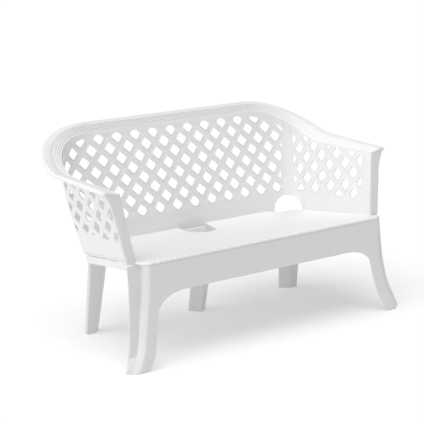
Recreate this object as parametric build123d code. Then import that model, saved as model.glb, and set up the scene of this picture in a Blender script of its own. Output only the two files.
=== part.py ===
from build123d import *
import os
from math import cos, radians, sin, sqrt, tan

# Garden bench moulded in white resin, supplied flat and fixed together with screws.
# Front faces -Y, up is +Z, origin on the floor under the middle. Millimetres.

# Driving dimensions
length = 1450.0
wall = 5.0
seatFrontY = -336.0
seatFrontZ = 412.0
seatFall = 0.12
seatHalfWidth = 594.0
cornerChamfer = 22.0
backAnchorY = 330.0
backAnchorZ = 760.0
recline = 20.2
armAnchorX = 605.5
armAnchorY = 248.0
armAnchorZ = 538.0
armLean = 0.159
armToe = 0.05
latticePitch = 92.2
latticeHole = 37.0
latticeHoleCorner = 4.0
latticeRise = 13.6
stileWidth = 45.0
railHalfLength = length / 2
railRearY = 378.0
railCornerRadius = 245.0
railTipY = -226.0
railInnerRadius = 235.0
railInnerY = 337.0
railTopZ = 829.0
railLip = 16.0
tongueWall = 4.0
tongueHeight = 50.0
apronDepth = 132.0
apronArch = 78.0
apronReach = 125.0
skirtDepth = 42.0
frontLegWidth = 50.0
legReturn = 12.0
channelDepth = 12.0
toeX = 717.0
toeY = -378.0
screwRadius = 3.0
screwHeadRadius = 6.0
clearance = 0.4

backSlope = tan(radians(recline))
seatPlane = Plane(origin=(0, seatFrontY, seatFrontZ), x_dir=(1, 0, 0), z_dir=(0, seatFall, 1))
backPlane = Plane(
    origin=(0, backAnchorY, backAnchorZ),
    x_dir=(1, 0, 0),
    z_dir=(0, -cos(radians(recline)), sin(radians(recline))),
)


def backY(z):
    return backAnchorY + backSlope * (z - backAnchorZ)


def armX(y, z):
    return armAnchorX - armToe * (y - armAnchorY) + armLean * (z - armAnchorZ)


def cornerX(z):
    return armX(backY(z), z)


def seatZ(y):
    return seatFrontZ - seatFall * (y - seatFrontY)


def makeArmPlane():
    """Plane of the right arm's inner face, its x axis along the lattice rows."""
    inward = Vector(-1, -armToe, armLean).normalized()
    forward = Vector(armToe, -1, 0).normalized()
    upward = inward.cross(forward)
    along = forward * cos(radians(latticeRise)) + upward * sin(radians(latticeRise))
    anchor = (armAnchorX, armAnchorY, armAnchorZ)
    return Plane(origin=anchor, x_dir=along, z_dir=inward)


armPlane = makeArmPlane()


def mirrored(shape):
    return shape.mirror(Plane.YZ)


def save(shape, name):
    """Write one sub-part, after checking that it is sound."""
    shape.label = name
    export_step(shape, f"parts/{name}.step")
    print(name, round(shape.volume), len(shape.solids()))


def savePair(shape, name):
    """Write a right-hand piece and its mirror image."""
    save(shape, f"{name}_right")
    save(mirrored(shape), f"{name}_left")


def polygon(points):
    return make_face(Polyline(*points, close=True))


def onPlane(plane, points):
    """Local coordinates of world points that lie on a plane."""
    local = [plane.to_local_coords(Vector(*point)) for point in points]
    return [(point.X, point.Y) for point in local]


def diamond(u, v):
    hole = RectangleRounded(latticeHole, latticeHole, latticeHoleCorner)
    return Pos(u, v) * Rot(0, 0, 45) * hole


def latticeHoles(region, originU, originV, columns, rows):
    """Diamond holes on a staggered grid, cut off at the border of the region."""
    holes = []
    half = latticePitch / 2
    for row in rows:
        for column in columns:
            if (column + row) % 2:
                continue
            piece = region & diamond(originU + column * half, originV - row * half)
            for face in piece.faces():
                if face.area > 120:
                    holes.append(face)
    return holes


def latticePanel(plane, outline, border, originU, originV, columns, rows):
    """Flat panel with its lattice cut through."""
    panel = polygon(outline)
    holes = latticeHoles(polygon(border), originU, originV, columns, rows)
    sketch = panel - holes
    return extrude(plane * sketch, -wall)


latticeTop = 15.0
latticeBottomZ = 437.0
panelTopZ = 798.0
archReach = 125.0
sideReach = 62.0


def makeBackLattice():
    """Reclined back between the two corner stiles, up to the underside of the rail."""
    gap = stileWidth + clearance
    lowZ = seatZ(backY(350)) + 2
    footZ = latticeBottomZ - 8
    outline = onPlane(backPlane, [
        (cornerX(lowZ) - archReach, backY(lowZ), lowZ),
        (cornerX(footZ) - archReach, backY(footZ), footZ),
        (cornerX(latticeBottomZ) - gap, backY(latticeBottomZ), latticeBottomZ),
        (cornerX(panelTopZ) - gap, backY(panelTopZ), panelTopZ),
    ])
    outline = outline + [(-u, v) for u, v in reversed(outline)]
    border = onPlane(backPlane, [
        (cornerX(latticeBottomZ) - gap - 6, backY(latticeBottomZ), latticeBottomZ),
        (cornerX(705) - gap - 6, backY(705), 705),
        (562, backY(718), 718),
        (506, backY(746), 746),
        (445, backY(765), 765),
    ])
    border.append((395, latticeTop))
    border = border + [(-u, v) for u, v in reversed(border)]
    panel = latticePanel(backPlane, outline, border, 0, 0, range(-12, 13), range(0, 8))
    void = makeRailVoid()
    return panel - void - mirrored(void)


def makeArmLattice():
    """Right arm panel from the corner to the fold at the arm post."""
    rearY = backY(350) - sideReach
    lowZ = seatZ(rearY) + 1
    frontZ = seatZ(-266) + 1
    outline = onPlane(armPlane, [
        (armX(rearY, lowZ), rearY, lowZ),
        (armX(-266, frontZ), -266, frontZ),
        (armX(-215, 680), -215, 680),
        (armX(90, 712), 90, 712),
        (armX(backY(780) - 12, 780), backY(780) - 12, 780),
        (armX(backY(latticeBottomZ) - 12, latticeBottomZ), backY(latticeBottomZ) - 12, latticeBottomZ),
        (armX(backY(430) - sideReach, 430), backY(430) - sideReach, 430),
    ])
    border = onPlane(armPlane, [
        (armX(backY(440) - 18, 440), backY(440) - 18, 440),
        (armX(-166, 461), -166, 461),
        (armX(-199, 507), -199, 507),
        (armX(-180, 650), -180, 650),
        (armX(60, 652), 60, 652),
        (armX(130, 660), 130, 660),
        (armX(225, 686), 225, 686),
        (armX(backY(695) - 18, 695), backY(695) - 18, 695),
    ])
    hole = onPlane(armPlane, [(armX(95, 557), 95, 557)])[0]
    panel = latticePanel(armPlane, outline, border, hole[0], hole[1], range(-6, 10), range(-4, 5))
    return panel - makeRailVoid()


def makeCornerStile():
    """Right corner: an upright band on the back, a return on the arm, an arch at its foot."""
    topZ = panelTopZ - 20
    footZ = latticeBottomZ - 8
    lowZ = seatZ(backY(350)) + 2
    backBand = onPlane(backPlane, [
        (cornerX(lowZ) - archReach + clearance, backY(lowZ), lowZ),
        (cornerX(footZ) - archReach + clearance, backY(footZ), footZ),
        (cornerX(latticeBottomZ) - stileWidth, backY(latticeBottomZ), latticeBottomZ),
        (cornerX(topZ) - stileWidth, backY(topZ), topZ),
        (cornerX(topZ), backY(topZ), topZ),
        (cornerX(lowZ), backY(lowZ), lowZ),
    ])
    reach = sideReach - clearance
    seam = 12 - clearance
    armBand = onPlane(armPlane, [
        (armX(backY(lowZ) + 4, lowZ), backY(lowZ) + 4, lowZ),
        (armX(backY(lowZ) - reach, lowZ + 6), backY(lowZ) - reach, lowZ + 6),
        (armX(backY(430) - reach, 430), backY(430) - reach, 430),
        (armX(backY(latticeBottomZ) - seam, latticeBottomZ), backY(latticeBottomZ) - seam, latticeBottomZ),
        (armX(backY(topZ) - seam, topZ), backY(topZ) - seam, topZ),
        (armX(backY(topZ) + 4, topZ), backY(topZ) + 4, topZ),
    ])
    band = extrude(backPlane * polygon(backBand), -wall)
    side = extrude(armPlane * polygon(armBand), -wall)
    arch = Cylinder(66, 260, rotation=(90, 0, 0))
    arch = Pos(cornerX(lowZ) - 42, backY(lowZ), lowZ) * Rot(0, 0, -38) * arch
    return band + side - arch - makeRailVoid()


def underDeck(shape):
    """Trim a leg or skirt along the underside of the seat deck."""
    above = Box(2000, 2000, 400, align=(Align.CENTER, Align.CENTER, Align.MIN))
    return shape - seatPlane.offset(-wall - 0.1) * above


def makeSeat():
    """Seat deck with a notch in front of the middle of the back."""
    rearY = backY(350) + wall + 2
    chamferX = seatHalfWidth + cornerChamfer
    edge = wall + 1.2
    half = [
        (seatHalfWidth, seatFrontY),
        (chamferX, seatFrontY + cornerChamfer),
        (chamferX, -268),
        (armX(-266, seatZ(-266)) + edge, -266),
        (armX(60, seatZ(60)) + edge, 60),
        (armX(rearY - 24, seatZ(rearY)) + edge, rearY - 24),
        (armX(rearY, seatZ(rearY)) - 20, rearY),
    ]
    stretch = sqrt(1 + seatFall ** 2)
    outline = [(x, (y - seatFrontY) * stretch) for x, y in half]
    outline = outline + [(-u, v) for u, v in reversed(outline)]
    rear = (rearY - seatFrontY) * stretch
    notch = polygon([(-72, rear + 5), (-50, rear - 70), (50, rear - 70), (72, rear + 5)])
    return extrude(seatPlane * (polygon(outline) - notch), -wall)


def frontPlane(y):
    return Plane(origin=(0, y, 0), x_dir=(1, 0, 0), z_dir=(0, -1, 0))


def makeApron():
    """Front apron between the legs, arched at both ends."""
    span = seatHalfWidth - frontLegWidth - clearance
    top = seatFrontZ - wall - 2
    low = seatFrontZ - apronDepth
    foot = low - apronArch
    slab = frontPlane(seatFrontY) * Rectangle(2 * span, top - foot, align=(Align.CENTER, Align.MIN))
    slab = Pos(0, 0, foot) * slab
    opening = Rectangle(2 * (span - apronReach), apronArch * 2)
    ends = Ellipse(apronReach, apronArch)
    arch = opening + Pos(span - apronReach, 0) * ends + Pos(apronReach - span, 0) * ends
    arch = Pos(0, 0, foot) * (frontPlane(seatFrontY) * arch)
    return extrude(slab - arch, -wall)


def lofted(sections):
    """Straight-sided solid through closed outlines with the same number of points."""
    faces = [make_face(Polyline(*points, close=True)) for points in sections]
    return loft(faces, ruled=True)


def legSection(z, inner, outer, front, flangeX, flangeY):
    """Open moulded section: inner return, front face, corner face, recessed channel, flange."""
    corner = cornerChamfer - 2
    channelX = outer + corner - channelDepth
    return [
        (inner, front + legReturn, z),
        (inner, front, z),
        (outer, front, z),
        (outer + corner, front + corner, z),
        (channelX, front + corner + 8, z),
        (channelX, flangeY, z),
        (flangeX, flangeY, z),
        (flangeX, flangeY + wall, z),
        (channelX - wall, flangeY + wall, z),
        (channelX - wall, front + corner + 6, z),
        (outer + corner - 9, front + corner - 2, z),
        (outer - 2, front + wall, z),
        (inner + wall, front + wall, z),
        (inner + wall, front + legReturn, z),
    ]


def toeSection(z, inner, outer, front, flangeX, flangeY):
    """Solid toe: front face, corner face, outer face, then back across to the inner edge."""
    corner = cornerChamfer - 2
    return [
        (inner + 1, front + legReturn, z),
        (inner + 1, front + 1, z),
        (outer, front + 1, z),
        (outer + corner - 1, front + corner, z),
        (flangeX - 1, flangeY, z),
        (flangeX - 1, flangeY + wall, z),
        (outer, flangeY + wall, z),
    ]


toeStations = [
    (0, 627, 680, toeY, toeX, -349),
    (20, 615, 668, toeY, toeX - 5, -346),
    (56, 597, 650, -371, 696, -336),
]
frontLegStations = [
    (50, 599, 652, -372, 698, -337),
    (86, 586, 637, -362, 685, -327),
    (200, 560, 610, -343, 665, -302),
    (320, seatHalfWidth - frontLegWidth, seatHalfWidth, seatFrontY, 658, -288),
    (seatFrontZ + 6, seatHalfWidth - frontLegWidth, seatHalfWidth, seatFrontY, 657, -277),
]


def makeFrontLeg():
    """Cabriole front leg with a solid toe."""
    leg = lofted([legSection(*station) for station in frontLegStations])
    toe = lofted([toeSection(*station) for station in toeStations])
    return underDeck(leg + toe)


def rearLegSection(z, inner, outer, front):
    flank = 35
    return [
        (outer + 8, front + 42, z),
        (outer, front, z),
        (inner, front, z),
        (inner - flank, front + flank, z),
        (inner - flank + 3.5, front + flank + 3.5, z),
        (inner + 2, front + wall, z),
        (outer - 4.5, front + wall, z),
        (outer + 3, front + 42.7, z),
    ]


rearLegStations = [(0, 524, 567, 143), (105, 513, 565, 132), (380, 487, 563, 103)]


def makeRearLeg():
    """Tapered channel that rakes back towards the floor."""
    leg = lofted([rearLegSection(*station) for station in rearLegStations])
    (floorZ, inner, outer, front) = rearLegStations[0]
    sole = polygon([(outer + 5, front + 38), (outer, front), (inner, front), (inner - 35, front + 36)])
    return underDeck(leg + extrude(sole, 6))


def middleLegSection(z, half, front):
    return [
        (-half, front + 42, z),
        (-8, front, z),
        (8, front, z),
        (half, front + 42, z),
        (half - 4, front + 45.5, z),
        (6, front + wall, z),
        (-6, front + wall, z),
        (4 - half, front + 45.5, z),
    ]


def makeMiddleLeg():
    """V-shaped leg under the middle of the back."""
    leg = lofted([middleLegSection(0, 46, 106), middleLegSection(380, 56, 74)])
    sole = polygon([(-43, 147), (-8, 106), (8, 106), (43, 147)])
    return underDeck(leg + extrude(sole, 6))


def ease(turn):
    """Rise of the rail round a corner, from 0 at the arm to 1 at the back, level at both ends."""
    return sin(radians(90) * turn ** railSwell) ** 2


railJointX = 415.0
railJointY = railInnerY - railInnerRadius
armRailInnerZ = 666.0
armRailOuterZ = 693.0
backRailInnerZ = 788.0
cornerSteps = 12
railSwell = 0.75


def cornerInner(part):
    """Inner edge of the corner rail, from the back joint to the arm joint."""
    jointX = armX(railJointY, armRailInnerZ)
    turn = radians(90 * (1 - part))
    spanX = jointX - railJointX
    x = railJointX + spanX * cos(turn)
    y = railJointY + railInnerRadius * sin(turn)
    return (x, y, armRailInnerZ + (backRailInnerZ - armRailInnerZ) * ease(1 - part))


def cornerOuter(part):
    """Outer edge of the corner rail: straight, quarter circle, straight."""
    lead = railHalfLength - railCornerRadius - railJointX
    tail = railRearY - railCornerRadius - railJointY
    arc = railCornerRadius * radians(90)
    distance = part * (lead + arc + tail)
    centreX = railHalfLength - railCornerRadius
    centreY = railRearY - railCornerRadius
    z = armRailOuterZ + (railTopZ - armRailOuterZ) * ease(1 - part)
    if distance < lead:
        return (railJointX + distance, railRearY, z)
    if distance > lead + arc:
        return (railHalfLength, centreY - (distance - lead - arc), z)
    turn = radians(90) - (distance - lead) / railCornerRadius
    return (centreX + railCornerRadius * cos(turn), centreY + railCornerRadius * sin(turn), z)


def railSection(inner, outer):
    """Crowned cap with a turned-down lip, from the panel out to the rim."""
    acrossX = outer[0] - inner[0]
    acrossY = outer[1] - inner[1]
    width = sqrt(acrossX ** 2 + acrossY ** 2)
    rise = outer[2] - inner[2]
    profile = [
        (0, 0),
        (0.3 * width, 0.5 * rise),
        (0.62 * width, 0.87 * rise),
        (width - 12, rise),
        (width - 3, rise - 3),
        (width, rise - 9),
        (width, rise - railLip),
        (width - wall, rise - railLip),
        (width - wall - 1, rise - 9),
        (width - 14, rise - wall),
        (0.62 * width, 0.87 * rise - wall),
        (0.3 * width, 0.5 * rise - wall),
        (1, -wall),
    ]
    points = []
    for reach, height in profile:
        part = reach / width
        points.append((inner[0] + acrossX * part, inner[1] + acrossY * part, inner[2] + height))
    return points


def voidSection(inner, outer):
    """Space from the underside of the rail upwards."""
    underside = railSection(inner, outer)[8:]
    acrossX = (outer[0] - inner[0]) * 0.5
    acrossY = (outer[1] - inner[1]) * 0.5
    farX, farY, farZ = underside[0]
    nearX, nearY, nearZ = underside[-1]
    return underside + [
        (nearX - acrossX, nearY - acrossY, nearZ),
        (nearX - acrossX, nearY - acrossY, 1000),
        (farX + acrossX, farY + acrossY, 1000),
        (farX + acrossX, farY + acrossY, farZ - railLip / 2),
        (farX, farY, farZ - railLip / 2),
    ]


def makeRailVoid():
    """Right half of the space above the rail's underside, to trim the panels."""
    sections = [voidSection((-1, railInnerY, backRailInnerZ), (-1, railRearY, railTopZ))]
    for index in range(cornerSteps + 1):
        part = index / cornerSteps
        sections.append(voidSection(cornerInner(part), cornerOuter(part)))
    for part in (0.5, 1.1):
        sections.append(voidSection(*armRailEdges(part)))
    return lofted(sections)


def armRailEdges(part):
    """Inner and outer edge of the arm rail, from the corner joint to the tip."""
    y = railJointY + (railTipY - railJointY) * part
    inner = (armX(y, armRailInnerZ), y, armRailInnerZ)
    return inner, (railHalfLength, y, armRailOuterZ - 12 * part)


def makeBackRail():
    """Straight top rail over the back, with a tongue down the rear of the panel."""
    right = railSection((railJointX, railInnerY, backRailInnerZ), (railJointX, railRearY, railTopZ))
    left = [(-x, y, z) for x, y, z in right]
    rail = lofted([left, right])
    tongue = Rectangle(2 * railJointX - 30, tongueHeight, align=(Align.CENTER, Align.MIN))
    behind = backPlane.offset(-wall - 0.2)
    tongue = extrude(behind * Pos(0, latticeTop + 2) * tongue, -tongueWall)
    return rail + tongue


def makeCornerRail():
    """Rail that sweeps round a rear corner and drops to the arm."""
    parts = [index / cornerSteps for index in range(cornerSteps + 1)]
    return lofted([railSection(cornerInner(part), cornerOuter(part)) for part in parts])


def makeArmRail():
    """Arm rail from the corner joint to the tip."""
    return lofted([railSection(*armRailEdges(part)) for part in (0, 0.5, 1)])


def makeArmPost():
    """Flat band at the front edge of the arm, facing forwards."""
    foldLow = Vector(armX(-272, 412), -272, 412)
    foldHigh = Vector(armX(-228, 661), -228, 661)
    reach = 54
    points = [foldLow, foldHigh, foldHigh + Vector(reach, 0, 0), foldLow + Vector(reach - 6, 0, 0)]
    plane = Plane(origin=foldLow, x_dir=(1, 0, 0), z_dir=Vector(1, 0, 0).cross(foldHigh - foldLow))
    face = polygon([(plane.to_local_coords(p).X, plane.to_local_coords(p).Y) for p in points])
    return extrude(plane * face, -wall)


def makeRailEnd():
    """Cap that closes the front end of the arm rail."""
    inner = (armX(railTipY, armRailInnerZ) + 1, railTipY - 0.2, armRailInnerZ)
    outer = (railHalfLength - 0.5, railTipY - 0.2, armRailOuterZ - 12)
    outline = railSection(inner, outer)[:7]
    outline.append((inner[0] + 20, railTipY - 0.2, armRailInnerZ - 4))
    tip = [(x - 3, y - 9, z - 2) for x, y, z in outline]
    return lofted([outline, tip])


def makeSideSkirt():
    """Outer skirt under the arm, from the front leg to the rear leg."""
    outside = armPlane.offset(-wall - 1.5)
    drop = wall + 2.5
    corners = []
    for y, below in ((100, drop), (100, skirtDepth), (-264, skirtDepth), (-264, drop)):
        z = seatZ(y) - below
        corners.append(outside.to_local_coords(Vector(armX(y, z), y, z)))
    return extrude(outside * polygon([(corner.X, corner.Y) for corner in corners]), -wall + 1)


def makeRearSkirt():
    """Skirt under the rear edge of the seat, above the three rear legs."""
    y = backY(350) - 4
    top = seatZ(y + wall) - wall - 1
    face = Rectangle(2 * 440, skirtDepth, align=(Align.CENTER, Align.MAX))
    opening = Pos(0, -skirtDepth) * Ellipse(60, 26)
    return Pos(0, 0, top) * extrude(frontPlane(y) * (face - opening), -wall)


def makeRibs():
    """Stiffening ribs under the seat: two long ones and six across."""
    ribs = []
    for y, depth in ((-180, 34), (-20, 30)):
        top = seatZ(y + 2) - wall - 0.6
        rib = Box(2 * 560, 4, depth, align=(Align.CENTER, Align.CENTER, Align.MAX))
        ribs.append(Pos(0, y, top) * rib)
    return ribs


def makeCrossRibs():
    """Ribs that run front to back between the long ones."""
    ribs = []
    pitch = 160
    for index in range(7):
        x = (index - 3) * pitch
        for low, high in ((seatFrontY + wall + 3, -183), (-177, -23), (-17, 68)):
            points = [(low, seatZ(low)), (high, seatZ(high)), (high, seatZ(high) - 26), (low, seatZ(low) - 26)]
            side = Plane(origin=(x, 0, -wall - 0.6), x_dir=(0, 1, 0), z_dir=(1, 0, 0))
            ribs.append(extrude(side * polygon(points), 2, both=True))
    return ribs


def makeScrew(plane, u, v, shank):
    """Pan-head screw driven along the plane's normal."""
    head = Pos(u, v, -3) * Cylinder(screwHeadRadius, 3, align=(Align.CENTER, Align.CENTER, Align.MIN))
    body = Pos(u, v, 0) * Cylinder(screwRadius, shank, align=(Align.CENTER, Align.CENTER, Align.MIN))
    return plane * (head + body)


def makeRailScrews():
    """Screws through the rail's tongue into the back panel."""
    plane = backPlane.offset(-wall - 0.2 - tongueWall)
    return [makeScrew(plane, (index - 3.5) * latticePitch, latticeTop + 10, wall + 2) for index in range(8)]


os.makedirs("parts", exist_ok=True)
save(makeBackLattice(), "backrest_lattice")
savePair(makeArmLattice(), "arm_lattice")
savePair(makeCornerStile(), "corner_stile")
savePair(makeArmPost(), "arm_post")
save(makeSeat(), "seat_deck")
save(makeApron(), "front_apron")
savePair(makeSideSkirt(), "side_skirt")
save(makeRearSkirt(), "rear_skirt")
save(Compound(children=makeRibs()), "seat_long_ribs")
save(Compound(children=makeCrossRibs()), "seat_cross_ribs")
savePair(makeFrontLeg(), "front_leg")
savePair(makeRearLeg(), "rear_leg")
save(makeMiddleLeg(), "middle_leg")
save(makeBackRail(), "back_top_rail")
savePair(makeCornerRail(), "corner_rail")
savePair(makeArmRail(), "arm_rail")
savePair(makeRailEnd(), "arm_rail_end")
save(Compound(children=makeRailScrews()), "rail_screws")
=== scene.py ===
import math

import bmesh
import bpy
import numpy as np
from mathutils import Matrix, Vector


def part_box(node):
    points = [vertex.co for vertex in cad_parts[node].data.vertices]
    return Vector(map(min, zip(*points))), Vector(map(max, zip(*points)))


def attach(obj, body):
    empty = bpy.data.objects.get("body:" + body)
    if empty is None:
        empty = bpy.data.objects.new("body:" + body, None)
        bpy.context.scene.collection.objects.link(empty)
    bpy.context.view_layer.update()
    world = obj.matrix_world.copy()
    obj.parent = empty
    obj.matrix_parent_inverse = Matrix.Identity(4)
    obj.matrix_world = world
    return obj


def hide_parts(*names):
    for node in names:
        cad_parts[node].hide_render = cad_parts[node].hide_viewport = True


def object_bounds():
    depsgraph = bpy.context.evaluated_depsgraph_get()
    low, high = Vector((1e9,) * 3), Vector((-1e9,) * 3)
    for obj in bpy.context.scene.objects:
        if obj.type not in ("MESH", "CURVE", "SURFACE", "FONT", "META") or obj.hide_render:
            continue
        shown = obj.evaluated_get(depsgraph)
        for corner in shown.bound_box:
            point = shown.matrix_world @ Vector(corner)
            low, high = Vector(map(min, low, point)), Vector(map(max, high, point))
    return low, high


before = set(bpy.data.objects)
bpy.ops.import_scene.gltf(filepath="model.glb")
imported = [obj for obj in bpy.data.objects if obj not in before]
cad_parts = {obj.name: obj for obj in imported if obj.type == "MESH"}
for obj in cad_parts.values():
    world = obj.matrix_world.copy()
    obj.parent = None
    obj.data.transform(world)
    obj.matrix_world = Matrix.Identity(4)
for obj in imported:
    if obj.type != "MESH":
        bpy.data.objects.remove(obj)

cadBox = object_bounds()
print("frame loaded, nodes:", len(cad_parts))

# the moulded tub: two leaning arm panels and a reclined back standing on a sloping seat (metres)
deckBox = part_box("seat_deck")
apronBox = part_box("front_apron")
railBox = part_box("back_top_rail")
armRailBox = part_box("arm_rail_right")
tub = {
    "seatFrontY": deckBox[0][1],
    "seatFrontZ": deckBox[1][2],
    "seatFall": 0.12,
    "backY": 0.330,
    "backZ": 0.760,
    "backSlope": math.tan(math.radians(20.2)),
    "armX": 0.6055,
    "armY": 0.248,
    "armZ": 0.538,
    "armLean": 0.159,
    "armToe": 0.05,
    "rearZ": 0.350,
}


def clamp(value):
    return min(1.0, max(0.0, value))


def backY(z):
    return tub["backY"] + tub["backSlope"] * (z - tub["backZ"])


def armX(y, z):
    return tub["armX"] - tub["armToe"] * (y - tub["armY"]) + tub["armLean"] * (z - tub["armZ"])


def cornerX(z):
    return armX(backY(z), z)


def seatZ(y):
    return tub["seatFrontZ"] - tub["seatFall"] * (y - tub["seatFrontY"])


seatRearY = backY(tub["rearZ"])
seatRearZ = seatZ(seatRearY)
backOut = Vector((0, 1, -tub["backSlope"])).normalized()
backUp = Vector((0, tub["backSlope"], 1)).normalized()
armOut = Vector((1, tub["armToe"], -tub["armLean"])).normalized()
armForward = Vector((tub["armToe"], -1, 0)).normalized()
armUp = armForward.cross(armOut).normalized()
if armUp.z < 0:
    armUp = -armUp

# where the back turns into the arms; the bend is tight at the seat and wide at the top
corner = {
    "reach": 0.045,
    "swell": 1.64,
    "armShare": 1.6,
    "bandZ": 0.437,
    "tuck": 0.026,
    "tuckTop": 0.66,
}


def cornerReach(z):
    # how far from the corner line the panels begin to bend round it, wider towards the top
    return corner["reach"] + corner["swell"] * max(0.0, z - corner["bandZ"]) ** 2


def cornerTuck(z):
    return corner["tuck"] * clamp((corner["tuckTop"] - z) / (corner["tuckTop"] - corner["bandZ"]))


def shellSurface(s, z):
    # right half of the tub wall; s is measured from the corner line, back negative, arm positive
    reach = cornerReach(z)
    tuck = cornerTuck(z)
    armReach = reach * corner["armShare"]
    if s <= -reach - tuck:
        return Vector((cornerX(z) + s, backY(z), z))
    if s >= armReach:
        y = backY(z) - s
        return Vector((armX(y, z), y, z))
    t = (s + reach + tuck) / (armReach + reach + tuck)
    middleY = backY(z) - armReach / 2
    lastY = backY(z) - armReach
    knots = (
        Vector((cornerX(z) - reach - tuck, backY(z), z)),
        Vector((cornerX(z) - tuck, backY(z), z)),
        Vector((armX(middleY, z), middleY, z)),
        Vector((armX(lastY, z), lastY, z)),
    )
    shares = ((1 - t) ** 3, 3 * t * (1 - t) ** 2, 3 * t * t * (1 - t), t ** 3)
    return sum((knot * share for knot, share in zip(knots, shares)), Vector((0, 0, 0)))


def placeOnShell(s, z, n):
    # n is the distance outwards through the wall
    step = 0.001
    point = shellSurface(s, z)
    along = shellSurface(s + step, z) - shellSurface(s - step, z)
    up = shellSurface(s, z + step) - shellSurface(s, z - step)
    return point + up.cross(along).normalized() * n


def makeObject(name, mesh):
    piece = bpy.data.objects.new(name, mesh)
    bpy.context.scene.collection.objects.link(piece)
    return piece


def finishPiece(piece, nodes, material, smoothAngle=40):
    mesh = piece.data
    mesh.materials.clear()
    mesh.materials.append(material)
    for face in mesh.polygons:
        face.use_smooth = True
    mesh.set_sharp_from_angle(angle=math.radians(smoothAngle))
    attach(piece, "root")
    if nodes:
        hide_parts(*nodes)
    return piece


def faceOutwards(mesh):
    work = bmesh.new()
    work.from_mesh(mesh)
    bmesh.ops.recalc_face_normals(work, faces=work.faces)
    work.to_mesh(mesh)
    work.free()
    return mesh


def meshFrom(name, verts, faces):
    mesh = bpy.data.meshes.new(name)
    mesh.from_pydata([tuple(v) for v in verts], [], faces)
    mesh.validate()
    return faceOutwards(mesh)


def mirroredMesh(mesh, name):
    # the left-hand piece of a pair
    other = mesh.copy()
    other.name = name
    work = bmesh.new()
    work.from_mesh(other)
    for vert in work.verts:
        vert.co.x = -vert.co.x
    bmesh.ops.reverse_faces(work, faces=work.faces)
    work.to_mesh(other)
    work.free()
    return other


def finishPair(mesh, label, node, material):
    # mesh is the right-hand piece; the left one is its mirror image
    finishPiece(makeObject(label + "Right", mesh), [node + "_right"], material, 40)
    other = mirroredMesh(mesh, label + "Left")
    finishPiece(makeObject(label + "Left", other), [node + "_left"], material, 40)


def area(points):
    total = 0
    for (x1, y1), (x2, y2) in zip(points, points[1:] + points[:1]):
        total += x1 * y2 - x2 * y1
    return total / 2


def clipConvex(points, border):
    # keeps the part of a convex outline inside a convex border, both counter-clockwise
    kept = list(points)
    for (ax, ay), (bx, by) in zip(border, border[1:] + border[:1]):
        source, kept = kept, []
        for (px, py), (qx, qy) in zip(source, source[1:] + source[:1]):
            sideP = (bx - ax) * (py - ay) - (by - ay) * (px - ax)
            sideQ = (bx - ax) * (qy - ay) - (by - ay) * (qx - ax)
            if sideP >= 0:
                kept.append((px, py))
            if sideP * sideQ < 0:
                share = sideP / (sideP - sideQ)
                kept.append((px + (qx - px) * share, py + (qy - py) * share))
        if not kept:
            return []
    return kept


def tidyLoop(points, shortest):
    loop = [points[0]]
    for point in points[1:]:
        if math.dist(point, loop[-1]) > shortest:
            loop.append(point)
    if math.dist(loop[0], loop[-1]) < shortest:
        loop.pop()
    return loop


def cornerCurve(before, at, after, radius, steps):
    # quadratic curve in place of one corner, never longer than its two sides allow
    before, at, after = Vector(before), Vector(at), Vector(after)
    reach = min(radius, (before - at).length * 0.48, (after - at).length * 0.48)
    start = at + (before - at).normalized() * reach
    end = at + (after - at).normalized() * reach
    curve = []
    for step in range(steps + 1):
        t = step / steps
        curve.append(start * (1 - t) ** 2 + at * (2 * t * (1 - t)) + end * t ** 2)
    return curve


def roundLoop(points, radius, steps=5):
    rounded = []
    for index, point in enumerate(points):
        after = points[(index + 1) % len(points)]
        rounded += [tuple(spot) for spot in cornerCurve(points[index - 1], point, after, radius, steps)]
    return rounded


def grown(loop, amount):
    # outline moved outwards along its own normals
    count = len(loop)
    sign = 1 if area(loop) > 0 else -1
    wide = []
    for index in range(count):
        ax, ay = loop[index - 1]
        bx, by = loop[(index + 1) % count]
        length = math.hypot(bx - ax, by - ay) or 1
        wide.append((loop[index][0] + sign * (by - ay) / length * amount,
                     loop[index][1] - sign * (bx - ax) / length * amount))
    return wide


def sheetMesh(name, outline, holes, thickness, bevel, bevelSteps=2):
    # filled flat sheet in XY with its holes, thickness centred on z = 0
    curve = bpy.data.curves.new(name, "CURVE")
    curve.dimensions = "2D"
    curve.fill_mode = "BOTH"
    curve.extrude = thickness / 2 - bevel
    curve.bevel_depth = bevel
    curve.bevel_resolution = bevelSteps
    for loop in [grown(outline, -bevel)] + [grown(hole, bevel) for hole in holes]:
        spline = curve.splines.new("POLY")
        spline.points.add(len(loop) - 1)
        for point, (x, y) in zip(spline.points, loop):
            point.co = (x, y, 0, 1)
        spline.use_cyclic_u = True
    holder = makeObject(name + "_flat", curve)
    graph = bpy.context.evaluated_depsgraph_get()
    mesh = bpy.data.meshes.new_from_object(holder.evaluated_get(graph))
    bpy.data.objects.remove(holder)
    bpy.data.curves.remove(curve)
    work = bmesh.new()
    work.from_mesh(mesh)
    bmesh.ops.remove_doubles(work, verts=work.verts, dist=1e-6)
    work.to_mesh(mesh)
    work.free()
    mesh.name = name
    return mesh


def mapMesh(mesh, place):
    for vert in mesh.vertices:
        vert.co = place(vert.co.x, vert.co.y, vert.co.z)
    return faceOutwards(mesh)


def sliceMesh(mesh, normal, offsets):
    # cuts a flat sheet into strips so that it can bend
    direction = Vector(normal)
    size = direction.length_squared
    work = bmesh.new()
    work.from_mesh(mesh)
    for offset in offsets:
        everything = work.verts[:] + work.edges[:] + work.faces[:]
        point = direction * (offset / size)
        bmesh.ops.bisect_plane(work, geom=everything, plane_co=point, plane_no=direction, dist=1e-7)
    work.to_mesh(mesh)
    work.free()
    return mesh


def joinMeshes(name, meshes):
    work = bmesh.new()
    for mesh in meshes:
        work.from_mesh(mesh)
    joined = bpy.data.meshes.new(name)
    work.to_mesh(joined)
    work.free()
    return joined


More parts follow.
